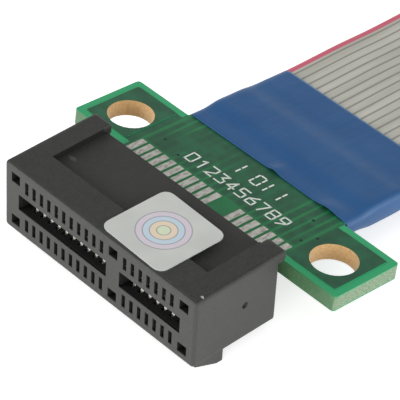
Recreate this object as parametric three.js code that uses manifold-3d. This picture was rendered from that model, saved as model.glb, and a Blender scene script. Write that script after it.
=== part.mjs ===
// A one-lane riser cable: a keyed card socket on a winged board, two stacked ribbons and an edge plug.
// Millimetres. X runs across the cable, Y from the socket to the plug, Z up. The foot stands on Z = 0.

import * as THREE from 'three';
import { mergeGeometries, mergeVertices } from 'three/addons/utils/BufferGeometryUtils.js';
import Module from 'manifold-3d';

const wasm = await Module();
wasm.setup();

// Contact layout, shared by the socket, both boards and the plug's fingers
const CONTACT_PITCH = 1.0;
const CONTACTS_BEFORE_KEY = 11;
const CONTACTS_AFTER_KEY = 7;
const KEY_PITCHES = 2;

// Socket housing
const HOUSING_LENGTH = 25.0;
const HOUSING_HEIGHT = 7.5;
const HOUSING_ROUND = 0.4;
const END_ROUND_SHARE = 0.7;
const NOSE_DEPTH = 3.5;
const NOSE_STEP = 0.1;
const FOOT_DROP = 1.12;
const FOOT_BACK = 3.6;
const FOOT_FLAT = 0.65;
const FOOT_INSET = 0.05;
const GATE_MARK_DEPTH = 0.2;
const GATE_MARK_RADIUS = 0.45;
const GATE_MARK_SETBACK = 5.9;
const GATE_MARK_LIFT = 0.18;
const EAR_WIDTH = 2.4;
const EAR_HEIGHT = 1.18;
const EAR_REACH = 1.05;
const RECESS_DEPTH = 0.65;
const LIP_REACH = 0.4;

// Card slot and its key
const CARD_SLOT_HEIGHT = 1.75;
const CARD_SLOT_DEPTH = 7.8;
const CARD_SLOT_END = 1.1;
const KEY_RIB_WIDTH = 1.7;
const LEAD_IN_WIDTH = 0.35;
const LEAD_IN_HEIGHT = 0.2;
const LEAD_IN_DEPTH = 0.35;

// Contact cells, the windows in the face and the pocket at the back
const CELL_WIDTH = 0.45;
const WINDOW_BOTTOM = 1.45;
const WINDOW_HEIGHT = 1.4;
const BRIDGE_DEPTH = 0.85;
const BLIND_WINDOW_WIDTH = 1.12;
const BLIND_WINDOW_HEIGHT = 1.05;
const BLIND_WINDOW_LIFT = 2.43;
const BLIND_WINDOW_DEPTH = 1.6;
const BLIND_WINDOW_SETBACK = 1.5;
const CHANNEL_LIFT = 1.5;
const CHANNEL_HEIGHT = 0.6;
const CHANNEL_LENGTH = 0.9;
const POCKET_HALF_HEIGHT = 2.0;
const POCKET_MARGIN = 0.9;
const POCKET_LENGTH = 0.95;

// Spring contacts
const CONTACT_WIDTH = 0.34;
const CONTACT_THICKNESS = 0.18;
const CONTACT_CLEARANCE = 0.1;
const CONTACT_TIP_SETBACK = 0.3;
const CONTACT_GRIP_HALF_GAP = 0.52;
const CONTACT_CREST_DEPTH = 1.95;
const TAIL_LENGTH = 1.3;
const TAIL_START = 0.25;

// Both boards
const BOARD_THICKNESS = 1.6;
const PAD_RELIEF = 0.06;
const PAD_WIDTH = 0.68;
const NECK_HALF_WIDTH = 10.15;
const NECK_LENGTH = 6.2;
const NECK_FILLET = 0.2;
const CONDUCTOR_DIAMETER = 0.36;
const CONDUCTOR_SETBACK = 2.6;

// Socket board
const BOARD_END_GAP = 0.6;
const BOARD_DROOP = THREE.MathUtils.degToRad(5.1);
const TONGUE_CLEARANCE = 0.3;
const TONGUE_LENGTH = 2.9;
const WING_HALF_SPAN = 17.1;
const WING_LENGTH = 8.15;
const WING_CORNER = 0.4;
const SOCKET_PAD_LENGTH = 4.65;
const SOCKET_PAD_SETBACK = 0.2;
const SCREW_HOLE_DIAMETER = 4.5;
const SCREW_HOLE_SPACING = 26.7;
const SCREW_HOLE_SETBACK = 3.7;
const LAND_MARGIN = 0.75;

// Label on the socket's roof
const LABEL_WIDTH = 8.0;
const LABEL_LENGTH = 7.7;
const LABEL_THICKNESS = 0.12;
const LABEL_CORNER = 1.05;
const LABEL_OFFSET = 3.78;
const LABEL_SETBACK = 0.37;
const LABEL_TURN = THREE.MathUtils.degToRad(-1.7);

// Sleeves over the soldered joints
const SLEEVE_LENGTH = 12.7;
const SLEEVE_WALL = 0.15;
const SLEEVE_ROUND = 0.85;
const SLEEVE_CLEARANCE = 0.1;
const SLEEVE_GAP = 0.25;

// Ribbons
const WIRES = 20;
const WIRE_PITCH = 1.0;
const RIBBON_THICKNESS = 0.9;
const RIBBON_SPACING = 0.1;
const RIBBON_SHIFT = -0.3;
const RIBBON_END_GAP = 0.3;
const RIBBON_STEPS = 40;
const RIBBON_EDGE_SIDES = 4;
const RIBBON_FREE_LENGTH = 140.0;
const RIBBON_TABLE_GAP = 0.06;
const RIBBON_BEND = 7.0;
const RIBBON_BEND_LIFT = 1.47;
const RIBBON_LEVEL = 13.0;
const RIBBON_LEVEL_LIFT = 1.12;
const RIBBON_RELEASE_LIFT = 0.95;
const RIBBON_DESCENT_LIFT = 0.25;
const RIBBON_PLUG_APPROACH = 9.0;
const RIBBON_PLUG_LIFT = 0.1;

// Plug board
const PLUG_BODY_HALF_WIDTH = 12.0;
const PLUG_BODY_LENGTH = 6.0;
const PLUG_CORNER = 0.8;
const EDGE_TONGUE_LENGTH = 7.6;
const EDGE_TONGUE_CLEARANCE = 0.25;
const EDGE_BEVEL = 0.45;
const EDGE_BEVEL_LENGTH = 1.2;
const KEY_NOTCH_CLEARANCE = 0.1;
const KEY_NOTCH_DEPTH = 6.9;
const FINGER_LENGTH = 4.2;
const FINGER_SETBACK = 1.5;

const CURVE_SEGMENTS = 8;
const OVERCUT = 0.5;

// Places worked out from the sizes
const LAYOUT_PITCHES = CONTACTS_BEFORE_KEY + KEY_PITCHES + CONTACTS_AFTER_KEY - 1;
const FIRST_CONTACT_X = (-LAYOUT_PITCHES / 2) * CONTACT_PITCH;
const KEY_X = FIRST_CONTACT_X + (CONTACTS_BEFORE_KEY + (KEY_PITCHES - 1) / 2) * CONTACT_PITCH;
const ROOF_HALF_WIDTH = HOUSING_LENGTH / 2 - EAR_WIDTH;
const SLOT_HALF_WIDTH = -FIRST_CONTACT_X + CARD_SLOT_END;
const POCKET_DEPTH = CARD_SLOT_DEPTH + CHANNEL_LENGTH;
const HOUSING_DEPTH = POCKET_DEPTH + POCKET_LENGTH;
const HALF_HEIGHT = HOUSING_HEIGHT / 2;
const AXIS_Z = HALF_HEIGHT + FOOT_DROP;
const FACE_Y = -FOOT_BACK + FOOT_FLAT / 2;
const BOARD_START = POCKET_DEPTH + BOARD_END_GAP;
const POCKET_HALF_WIDTH = -FIRST_CONTACT_X + POCKET_MARGIN;
const HALF_BOARD = BOARD_THICKNESS / 2;
const WING_END = TONGUE_LENGTH + WING_LENGTH;
const SOCKET_NECK_END = WING_END + NECK_LENGTH;
const SOCKET_SLEEVE_START = WING_END + SLEEVE_GAP;
const STACK_HALF_HEIGHT = RIBBON_THICKNESS + RIBBON_SPACING / 2;
const JOINT_HALF_HEIGHT = HALF_BOARD + CONDUCTOR_DIAMETER;
const SLEEVE_INNER_HALF_HEIGHT = Math.max(STACK_HALF_HEIGHT, JOINT_HALF_HEIGHT) + SLEEVE_CLEARANCE;
const SLEEVE_HALF_HEIGHT = SLEEVE_INNER_HALF_HEIGHT + SLEEVE_WALL;
const RIBBON_WIDTH = WIRES * WIRE_PITCH;
const RIBBON_REACH = RIBBON_WIDTH / 2 + Math.abs(RIBBON_SHIFT);
const SLEEVE_INNER_HALF_WIDTH = Math.max(NECK_HALF_WIDTH, RIBBON_REACH) + SLEEVE_CLEARANCE;
const SLEEVE_HALF_WIDTH = SLEEVE_INNER_HALF_WIDTH + SLEEVE_WALL;

const finishes = {
  housing: new THREE.MeshStandardMaterial({ color: 0x3c3c3a, roughness: 0.62, metalness: 0.0 }),
  contact: new THREE.MeshStandardMaterial({ color: 0xd9d2bc, roughness: 0.28, metalness: 1.0 }),
  board: new THREE.MeshStandardMaterial({ color: 0x2f7a52, roughness: 0.4, metalness: 0.0 }),
  sleeve: new THREE.MeshStandardMaterial({ color: 0x375f95, roughness: 0.45, metalness: 0.0 }),
  label: new THREE.MeshStandardMaterial({ color: 0xb9bbbc, roughness: 0.35, metalness: 0.3 }),
  ribbon: new THREE.MeshStandardMaterial({ color: 0xaaaaa0, roughness: 0.5, metalness: 0.0 }),
};

/** Turns a closed geometry into a solid that can be cut and joined. */
function toSolid(geometry) {
  const bare = geometry.index ? geometry : mergeVertices(geometry);
  bare.deleteAttribute('normal');
  bare.deleteAttribute('uv');
  const merged = mergeVertices(bare, 1e-5);
  return new wasm.Manifold(new wasm.Mesh({
    numProp: 3,
    vertProperties: new Float32Array(merged.attributes.position.array),
    triVerts: new Uint32Array(merged.index.array),
  }));
}

/** Turns a solid back into a geometry. */
function toGeometry(solid) {
  const mesh = solid.getMesh();
  const geometry = new THREE.BufferGeometry();
  geometry.setAttribute('position', new THREE.BufferAttribute(mesh.vertProperties, 3));
  geometry.setIndex(new THREE.BufferAttribute(mesh.triVerts, 1));
  geometry.computeVertexNormals();
  return geometry;
}

function namedMesh(name, geometry, material) {
  const mesh = new THREE.Mesh(geometry, material);
  mesh.name = name;
  return mesh;
}

/** A box given by its lowest and highest corner. */
function boxBetween([x0, y0, z0], [x1, y1, z1]) {
  const box = new THREE.BoxGeometry(x1 - x0, y1 - y0, z1 - z0);
  return box.translate((x0 + x1) / 2, (y0 + y1) / 2, (z0 + z1) / 2);
}

/** Extrudes a shape drawn in Y and Z along X. */
function extrudeAlongX(shape, x0, x1) {
  const geometry = new THREE.ExtrudeGeometry(shape, { depth: x1 - x0, bevelEnabled: false });
  const turn = new THREE.Matrix4().makeBasis(
    new THREE.Vector3(0, 1, 0), new THREE.Vector3(0, 0, 1), new THREE.Vector3(1, 0, 0));
  return geometry.applyMatrix4(turn).translate(x0, 0, 0);
}

/** Extrudes a shape drawn in X and Z along Y, with the ends drawn in by an optional round. */
function extrudeAlongY(shape, y0, y1, round = 0) {
  const geometry = new THREE.ExtrudeGeometry(shape, {
    depth: y1 - y0 - 2 * round,
    bevelEnabled: round > 0,
    bevelThickness: round,
    bevelSize: round,
    bevelOffset: -round,
    bevelSegments: 2,
    curveSegments: 3,
  });
  const turn = new THREE.Matrix4().makeBasis(
    new THREE.Vector3(1, 0, 0), new THREE.Vector3(0, 0, 1), new THREE.Vector3(0, -1, 0));
  return geometry.applyMatrix4(turn).translate(0, y1 - round, 0);
}

/** Extrudes a shape drawn in X and Y along Z. */
function extrudeAlongZ(shape, z0, z1) {
  const geometry = new THREE.ExtrudeGeometry(shape, {
    depth: z1 - z0,
    bevelEnabled: false,
    curveSegments: CURVE_SEGMENTS,
  });
  return geometry.translate(0, 0, z0);
}

/** A closed outline through corners, each with its own fillet radius. */
function filletedOutline(corners) {
  const shape = new THREE.Shape();
  corners.forEach(([x, y, radius], i) => {
    const here = new THREE.Vector2(x, y);
    const before = new THREE.Vector2(...corners.at(i - 1)).sub(here).normalize();
    const after = new THREE.Vector2(...corners[(i + 1) % corners.length]).sub(here).normalize();
    const halfAngle = Math.acos(THREE.MathUtils.clamp(before.dot(after), -1, 1)) / 2;
    const setback = radius / Math.tan(halfAngle);
    const start = before.multiplyScalar(setback).add(here);
    const end = after.multiplyScalar(setback).add(here);
    if (i === 0) shape.moveTo(start.x, start.y);
    else shape.lineTo(start.x, start.y);
    if (radius > 0) shape.quadraticCurveTo(here.x, here.y, end.x, end.y);
  });
  shape.closePath();
  return shape;
}

function roundedRectangle(width, height, radius, centreX = 0, centreY = 0) {
  const [x0, x1] = [centreX - width / 2, centreX + width / 2];
  const [y0, y1] = [centreY - height / 2, centreY + height / 2];
  return filletedOutline([[x0, y0, radius], [x1, y0, radius], [x1, y1, radius], [x0, y1, radius]]);
}

/** The X of every contact, the key's gap left out. */
function contactPlaces() {
  const places = [];
  for (let i = 0; i < CONTACTS_BEFORE_KEY + CONTACTS_AFTER_KEY; i += 1) {
    const skipped = i < CONTACTS_BEFORE_KEY ? 0 : KEY_PITCHES;
    places.push(FIRST_CONTACT_X + (i + skipped) * CONTACT_PITCH);
  }
  return places;
}

/** A point of the drooping board, given along and off its middle plane, in the socket's Y and Z. */
function boardPoint(along, off) {
  const y = BOARD_START + along * Math.cos(BOARD_DROOP) + off * Math.sin(BOARD_DROOP);
  const z = -along * Math.sin(BOARD_DROOP) + off * Math.cos(BOARD_DROOP);
  return new THREE.Vector2(y, z);
}

/** A mouth that narrows from the face into one stretch of the card slot. */
function slotMouth(x0, x1) {
  const wide = [x1 - x0 + 2 * LEAD_IN_WIDTH, CARD_SLOT_HEIGHT + 2 * LEAD_IN_HEIGHT];
  const narrow = [x1 - x0, CARD_SLOT_HEIGHT];
  const mouth = new THREE.BoxGeometry(1, LEAD_IN_DEPTH, 1);
  const corners = mouth.attributes.position;
  for (let i = 0; i < corners.count; i += 1) {
    const [width, height] = corners.getY(i) < 0 ? wide : narrow;
    corners.setX(i, Math.sign(corners.getX(i)) * (width / 2));
    corners.setZ(i, Math.sign(corners.getZ(i)) * (height / 2));
  }
  return mouth.translate((x0 + x1) / 2, LEAD_IN_DEPTH / 2, 0);
}

/** The card slot: two stretches on either side of the key's rib, each with its mouth. */
function cardSlotCutter() {
  const stretches = [
    [-SLOT_HALF_WIDTH, KEY_X - KEY_RIB_WIDTH / 2],
    [KEY_X + KEY_RIB_WIDTH / 2, SLOT_HALF_WIDTH],
  ];
  const half = CARD_SLOT_HEIGHT / 2;
  return stretches
    .map(([x0, x1]) => {
      const stretch = toSolid(boxBetween([x0, -OVERCUT, -half], [x1, CARD_SLOT_DEPTH, half]));
      return stretch.add(toSolid(slotMouth(x0, x1)));
    })
    .reduce((all, stretch) => all.add(stretch));
}

/** One column of cells, seen from the side: both windows, both spring spaces and both tail channels. */
function cellOutline() {
  const windowTop = WINDOW_BOTTOM + WINDOW_HEIGHT;
  const channelTop = CHANNEL_LIFT + CHANNEL_HEIGHT / 2;
  const channelBottom = CHANNEL_LIFT - CHANNEL_HEIGHT / 2;
  const channelEnd = POCKET_DEPTH + OVERCUT;
  const upper = [
    [BRIDGE_DEPTH, WINDOW_BOTTOM],
    [-OVERCUT, WINDOW_BOTTOM],
    [-OVERCUT, windowTop],
    [CARD_SLOT_DEPTH, windowTop],
    [CARD_SLOT_DEPTH, channelTop],
    [channelEnd, channelTop],
    [channelEnd, channelBottom],
    [CARD_SLOT_DEPTH, channelBottom],
  ];
  const lower = upper.map(([y, z]) => [y, -z]).reverse();
  return new THREE.Shape([...upper, ...lower].map(([y, z]) => new THREE.Vector2(y, z)));
}

function cellCutter() {
  const outline = cellOutline();
  const half = CELL_WIDTH / 2;
  return toSolid(mergeGeometries(contactPlaces().map((x) => extrudeAlongX(outline, x - half, x + half))));
}

/** The square blind windows beside the end contacts and at the key, in both rows. */
function blindWindowCutter() {
  const reach = -FIRST_CONTACT_X + BLIND_WINDOW_SETBACK;
  const [halfWidth, halfHeight] = [BLIND_WINDOW_WIDTH / 2, BLIND_WINDOW_HEIGHT / 2];
  const window = boxBetween([-halfWidth, -OVERCUT, -halfHeight], [halfWidth, BLIND_WINDOW_DEPTH, halfHeight]);
  const windows = [-reach, KEY_X, reach].flatMap((x) => [
    window.clone().translate(x, 0, -BLIND_WINDOW_LIFT),
    window.clone().translate(x, 0, BLIND_WINDOW_LIFT),
  ]);
  return toSolid(mergeGeometries(windows));
}

/** The foot under the nose: a slope from the face down to a narrow flat that the socket stands on. */
function foot() {
  const front = END_ROUND_SHARE * HOUSING_ROUND;
  const side = HOUSING_LENGTH / 2 - FOOT_INSET;
  const profile = new THREE.Shape([
    new THREE.Vector2(front, -HALF_HEIGHT),
    new THREE.Vector2(FOOT_BACK - FOOT_FLAT, -AXIS_Z),
    new THREE.Vector2(FOOT_BACK, -AXIS_Z),
    new THREE.Vector2(FOOT_BACK, -HALF_HEIGHT + HOUSING_ROUND),
    new THREE.Vector2(front, -HALF_HEIGHT + HOUSING_ROUND),
  ]);
  return extrudeAlongX(profile, -side + NOSE_STEP, side);
}

/** The small dished mark that the mould's gate leaves on one side. */
function gateMark() {
  const dish = new THREE.CylinderGeometry(
    GATE_MARK_RADIUS, GATE_MARK_RADIUS / 2, 2 * GATE_MARK_DEPTH, 2 * CURVE_SEGMENTS);
  return dish.rotateZ(-Math.PI / 2).translate(HOUSING_LENGTH / 2, GATE_MARK_SETBACK, GATE_MARK_LIFT);
}

/** The moulded shell before its slots are cut. */
function housingBlank() {
  const roof = HALF_HEIGHT - RECESS_DEPTH;
  const half = HOUSING_LENGTH / 2;
  const endRound = END_ROUND_SHARE * HOUSING_ROUND;
  const outline = roundedRectangle(HOUSING_LENGTH, HOUSING_HEIGHT, HOUSING_ROUND);
  const body = extrudeAlongY(outline, 0, HOUSING_DEPTH + 2 * endRound, endRound);
  const behind = boxBetween(
    [-HOUSING_LENGTH, HOUSING_DEPTH, -HOUSING_HEIGHT],
    [HOUSING_LENGTH, HOUSING_DEPTH + OVERCUT + 2 * endRound, HOUSING_HEIGHT]);
  const step = boxBetween(
    [-HOUSING_LENGTH, -OVERCUT, -HOUSING_HEIGHT], [NOSE_STEP - half, NOSE_DEPTH, HOUSING_HEIGHT]);
  const lip = boxBetween(
    [-ROOF_HALF_WIDTH, NOSE_DEPTH, -HALF_HEIGHT], [ROOF_HALF_WIDTH, HOUSING_DEPTH + LIP_REACH, roof]);
  const recess = boxBetween(
    [-ROOF_HALF_WIDTH, NOSE_DEPTH, roof], [ROOF_HALF_WIDTH, HOUSING_DEPTH + OVERCUT, HALF_HEIGHT + OVERCUT]);
  const earOutline = roundedRectangle(
    EAR_WIDTH, EAR_HEIGHT, HOUSING_ROUND, half - EAR_WIDTH / 2, HALF_HEIGHT - EAR_HEIGHT / 2);
  const ear = extrudeAlongY(earOutline, HOUSING_DEPTH - EAR_REACH, HOUSING_DEPTH + EAR_REACH, endRound);
  const otherEar = ear.clone().translate(EAR_WIDTH - HOUSING_LENGTH, 0, 0);
  return toSolid(body)
    .subtract(toSolid(behind))
    .subtract(toSolid(step))
    .add(toSolid(lip))
    .subtract(toSolid(recess))
    .add(toSolid(ear))
    .add(toSolid(otherEar))
    .add(toSolid(foot()));
}

function housing() {
  const pocket = boxBetween(
    [-POCKET_HALF_WIDTH, POCKET_DEPTH, -POCKET_HALF_HEIGHT],
    [POCKET_HALF_WIDTH, HOUSING_DEPTH + EAR_REACH + OVERCUT, POCKET_HALF_HEIGHT]);
  const solid = housingBlank()
    .subtract(cardSlotCutter())
    .subtract(cellCutter())
    .subtract(blindWindowCutter())
    .subtract(toSolid(pocket))
    .subtract(toSolid(gateMark()));
  return namedMesh('socket_housing', toGeometry(solid), finishes.housing);
}

/** The middle line of a contact: tip on its bridge, spring crest, grip, channel and tail on the pads. */
function contactLine(side) {
  const seat = WINDOW_BOTTOM + CONTACT_CLEARANCE + CONTACT_THICKNESS / 2;
  const tailOff = HALF_BOARD + PAD_RELIEF + CONTACT_CLEARANCE + CONTACT_THICKNESS / 2;
  const behindBridge = BRIDGE_DEPTH + 2 * CONTACT_CLEARANCE + CONTACT_THICKNESS / 2;
  const halfway = (CONTACT_CREST_DEPTH + CARD_SLOT_DEPTH) / 2;
  const spring = new THREE.SplineCurve([
    new THREE.Vector2(CONTACT_TIP_SETBACK, seat),
    new THREE.Vector2(BRIDGE_DEPTH, seat + CONTACT_THICKNESS / 2),
    new THREE.Vector2(
      behindBridge + CONTACT_CLEARANCE, (seat + CONTACT_GRIP_HALF_GAP) / 2 + CONTACT_CLEARANCE),
    new THREE.Vector2(CONTACT_CREST_DEPTH, CONTACT_GRIP_HALF_GAP),
    new THREE.Vector2(halfway, (CONTACT_GRIP_HALF_GAP + 2 * CHANNEL_LIFT) / 3),
    new THREE.Vector2(CARD_SLOT_DEPTH, CHANNEL_LIFT),
  ]);
  const rest = [
    new THREE.Vector2(POCKET_DEPTH, CHANNEL_LIFT),
    boardPoint(TAIL_START, side * tailOff),
    boardPoint(TAIL_START + TAIL_LENGTH, side * tailOff),
  ];
  const springPoints = spring.getPoints(12).map((point) => new THREE.Vector2(point.x, side * point.y));
  rest[0].y *= side;
  return [...springPoints, ...rest];
}

/** A strip of even thickness around a line. */
function stripOutline(line, thickness) {
  const offsets = line.map((point, i) => {
    const before = line[Math.max(i - 1, 0)];
    const after = line[Math.min(i + 1, line.length - 1)];
    const incoming = point.clone().sub(before);
    const outgoing = after.clone().sub(point);
    const first = (i === 0 ? outgoing : incoming).clone().normalize();
    const second = (i === line.length - 1 ? incoming : outgoing).clone().normalize();
    const mitre = first.clone().add(second).normalize();
    const normal = new THREE.Vector2(-mitre.y, mitre.x);
    return normal.multiplyScalar(thickness / 2 / Math.max(mitre.dot(first), 0.5));
  });
  const left = line.map((point, i) => point.clone().add(offsets[i]));
  const right = line.map((point, i) => point.clone().sub(offsets[i])).reverse();
  return new THREE.Shape([...right.reverse(), ...left.reverse()]);
}

/** One row of spring contacts, named row and number. */
function contactRow(row, side) {
  const outline = stripOutline(contactLine(side), CONTACT_THICKNESS);
  const geometry = mergeVertices(extrudeAlongX(outline, -CONTACT_WIDTH / 2, CONTACT_WIDTH / 2));
  return contactPlaces().map((x, i) => {
    const number = String(i + 1).padStart(2, '0');
    const contact = namedMesh(`contact_${row}${number}`, geometry, finishes.contact);
    contact.position.x = x;
    return contact;
  });
}

function label() {
  const film = extrudeAlongZ(roundedRectangle(LABEL_WIDTH, LABEL_LENGTH, LABEL_CORNER), 0, LABEL_THICKNESS);
  const sticker = namedMesh('label', toGeometry(toSolid(film)), finishes.label);
  sticker.position.set(LABEL_OFFSET, LABEL_SETBACK + LABEL_LENGTH / 2, HALF_HEIGHT);
  sticker.rotation.z = LABEL_TURN;
  return sticker;
}

/** Relief on both faces of a board: one outline a pad, mirrored to the underside. */
function reliefOnBothFaces(outlines, relief) {
  const bury = HALF_BOARD / 2;
  return toSolid(mergeGeometries(outlines.flatMap((outline) => [
    extrudeAlongZ(outline, HALF_BOARD - bury, HALF_BOARD + relief),
    extrudeAlongZ(outline, -HALF_BOARD - relief, -HALF_BOARD + bury),
  ])));
}

function padOutlines(places, width, y0, y1) {
  return places.map((x) => roundedRectangle(width, y1 - y0, 0, x, (y0 + y1) / 2));
}

/** Soldered conductor ends of both ribbons, one beside the other across a neck. */
function conductorJoints(y0, y1) {
  const places = Array.from({ length: WIRES }, (_, i) => (i - (WIRES - 1) / 2) * WIRE_PITCH + RIBBON_SHIFT);
  return reliefOnBothFaces(padOutlines(places, CONDUCTOR_DIAMETER, y0, y1), CONDUCTOR_DIAMETER);
}

/** The copper land around a screw hole, a little proud of the board on both faces. */
function screwLand(side) {
  const innerX = SLEEVE_HALF_WIDTH + LAND_MARGIN / 2;
  const outerX = WING_HALF_SPAN - LAND_MARGIN;
  const [y0, y1] = [TONGUE_LENGTH + LAND_MARGIN, WING_END - LAND_MARGIN];
  const centreX = (side * (innerX + outerX)) / 2;
  return roundedRectangle(outerX - innerX, y1 - y0, WING_CORNER, centreX, (y0 + y1) / 2);
}

function socketBoard() {
  const tongue = POCKET_HALF_WIDTH - TONGUE_CLEARANCE;
  const corners = [
    [tongue, 0, 0],
    [tongue, TONGUE_LENGTH, 0],
    [WING_HALF_SPAN, TONGUE_LENGTH, WING_CORNER],
    [WING_HALF_SPAN, WING_END, WING_CORNER],
    [NECK_HALF_WIDTH, WING_END, NECK_FILLET],
    [NECK_HALF_WIDTH, SOCKET_NECK_END, 0],
  ];
  const mirrored = corners.map(([x, y, radius]) => [-x, y, radius]).reverse();
  const plate = extrudeAlongZ(filletedOutline([...corners, ...mirrored]), -HALF_BOARD, HALF_BOARD);
  const padsEnd = SOCKET_PAD_SETBACK + SOCKET_PAD_LENGTH;
  const pads = padOutlines(contactPlaces(), PAD_WIDTH, SOCKET_PAD_SETBACK, padsEnd);
  const holes = [-1, 1].map((side) => {
    const hole = new THREE.CylinderGeometry(
      SCREW_HOLE_DIAMETER / 2, SCREW_HOLE_DIAMETER / 2, 2 * BOARD_THICKNESS, 4 * CURVE_SEGMENTS);
    return hole.rotateX(Math.PI / 2)
      .translate((side * SCREW_HOLE_SPACING) / 2, TONGUE_LENGTH + SCREW_HOLE_SETBACK, 0);
  });
  const solid = toSolid(plate)
    .add(reliefOnBothFaces(pads, PAD_RELIEF))
    .add(reliefOnBothFaces([screwLand(-1), screwLand(1)], PAD_RELIEF))
    .add(conductorJoints(SOCKET_NECK_END - CONDUCTOR_SETBACK, SOCKET_NECK_END))
    .subtract(toSolid(mergeGeometries(holes)));
  return namedMesh('socket_board', toGeometry(solid), finishes.board);
}

/** A flattened tube over a soldered joint, open at both ends. */
function sleeve(name, y0) {
  const y1 = y0 + SLEEVE_LENGTH;
  const outline = roundedRectangle(2 * SLEEVE_HALF_WIDTH, 2 * SLEEVE_HALF_HEIGHT, SLEEVE_ROUND);
  const bore = roundedRectangle(
    2 * SLEEVE_INNER_HALF_WIDTH, 2 * SLEEVE_INNER_HALF_HEIGHT, SLEEVE_ROUND - SLEEVE_WALL);
  const solid = toSolid(extrudeAlongY(outline, y0, y1))
    .subtract(toSolid(extrudeAlongY(bore, y0 - OVERCUT, y1 + OVERCUT)));
  return namedMesh(name, toGeometry(solid), finishes.sleeve);
}

/** The plug's board: a neck for the joint, a body and a keyed edge tongue with gold fingers. */
function plugBoard() {
  const tongue = SLOT_HALF_WIDTH - EDGE_TONGUE_CLEARANCE;
  const bodyEnd = NECK_LENGTH + PLUG_BODY_LENGTH;
  const tip = bodyEnd + EDGE_TONGUE_LENGTH;
  const corners = [
    [NECK_HALF_WIDTH, 0, 0],
    [NECK_HALF_WIDTH, NECK_LENGTH, NECK_FILLET],
    [PLUG_BODY_HALF_WIDTH, NECK_LENGTH, PLUG_CORNER],
    [PLUG_BODY_HALF_WIDTH, bodyEnd, PLUG_CORNER],
    [tongue, bodyEnd, 0],
    [tongue, tip, EDGE_BEVEL],
  ];
  const mirrored = corners.map(([x, y, radius]) => [-x, y, radius]).reverse();
  const plate = extrudeAlongZ(filletedOutline([...corners, ...mirrored]), -HALF_BOARD, HALF_BOARD);
  const notchWidth = KEY_RIB_WIDTH + 2 * KEY_NOTCH_CLEARANCE;
  const notch = roundedRectangle(notchWidth, 2 * KEY_NOTCH_DEPTH, notchWidth / 2, KEY_X, tip);
  const fingers = padOutlines(
    contactPlaces(), PAD_WIDTH, tip - FINGER_SETBACK - FINGER_LENGTH, tip - FINGER_SETBACK);
  const bevel = new THREE.Shape([
    new THREE.Vector2(tip - EDGE_BEVEL_LENGTH, HALF_BOARD),
    new THREE.Vector2(tip, HALF_BOARD - EDGE_BEVEL),
    new THREE.Vector2(tip + OVERCUT, HALF_BOARD - EDGE_BEVEL),
    new THREE.Vector2(tip + OVERCUT, HALF_BOARD + OVERCUT),
    new THREE.Vector2(tip - EDGE_BEVEL_LENGTH, HALF_BOARD + OVERCUT),
  ]);
  const upperBevel = extrudeAlongX(bevel, -PLUG_BODY_HALF_WIDTH, PLUG_BODY_HALF_WIDTH);
  const lowerBevel = upperBevel.clone().rotateY(Math.PI);
  const solid = toSolid(plate)
    .add(reliefOnBothFaces(fingers, PAD_RELIEF))
    .add(conductorJoints(0, CONDUCTOR_SETBACK))
    .subtract(toSolid(extrudeAlongZ(notch, -BOARD_THICKNESS, BOARD_THICKNESS)))
    .subtract(toSolid(upperBevel))
    .subtract(toSolid(lowerBevel));
  return namedMesh('plug_board', toGeometry(solid), finishes.board);
}

/** Chosen points of the ribbon pair's middle line, in Y and Z, from one sleeve to the other. */
function ribbonRoute(start, leave, arrive, end) {
  const table = STACK_HALF_HEIGHT + RIBBON_TABLE_GAP;
  const free = arrive.y - leave.y;
  return new THREE.CatmullRomCurve3([
    start,
    leave,
    new THREE.Vector3(0, leave.y + RIBBON_BEND, table + RIBBON_BEND_LIFT),
    new THREE.Vector3(0, leave.y + RIBBON_LEVEL, table + RIBBON_LEVEL_LIFT),
    new THREE.Vector3(0, leave.y + 0.28 * free, table + RIBBON_RELEASE_LIFT),
    new THREE.Vector3(0, leave.y + 0.45 * free, table + RIBBON_DESCENT_LIFT),
    new THREE.Vector3(0, leave.y + 0.6 * free, table),
    new THREE.Vector3(0, leave.y + 0.82 * free, table),
    new THREE.Vector3(0, arrive.y - RIBBON_PLUG_APPROACH, table + RIBBON_PLUG_LIFT),
    arrive,
    end,
  ], false, 'centripetal');
}

/** One flat ribbon, set off from the pair's middle line. */
function ribbon(name, route, off) {
  const points = route.getSpacedPoints(RIBBON_STEPS).map((point, i) => {
    const tangent = route.getTangentAt(i / RIBBON_STEPS);
    return new THREE.Vector3(0, point.y - off * tangent.z, point.z + off * tangent.y);
  });
  const section = new THREE.Shape();
  const radius = RIBBON_THICKNESS / 2;
  const reach = RIBBON_WIDTH / 2 - radius;
  section.absarc(reach - RIBBON_SHIFT, 0, radius, -Math.PI / 2, Math.PI / 2, false);
  section.absarc(-reach - RIBBON_SHIFT, 0, radius, Math.PI / 2, (3 * Math.PI) / 2, false);
  const geometry = new THREE.ExtrudeGeometry(section, {
    steps: RIBBON_STEPS,
    curveSegments: RIBBON_EDGE_SIDES,
    extrudePath: new THREE.CatmullRomCurve3(points, false, 'centripetal'),
    bevelEnabled: false,
  });
  return namedMesh(name, toGeometry(toSolid(geometry)), finishes.ribbon);
}

function socketAssembly() {
  const socket = new THREE.Group();
  socket.position.set(0, FACE_Y, AXIS_Z);
  socket.add(housing(), ...contactRow('a', 1), ...contactRow('b', -1), label());
  const drooping = new THREE.Group();
  drooping.position.y = BOARD_START;
  drooping.rotation.x = -BOARD_DROOP;
  drooping.add(socketBoard(), sleeve('socket_sleeve', SOCKET_SLEEVE_START));
  socket.add(drooping);
  return socket;
}

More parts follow.
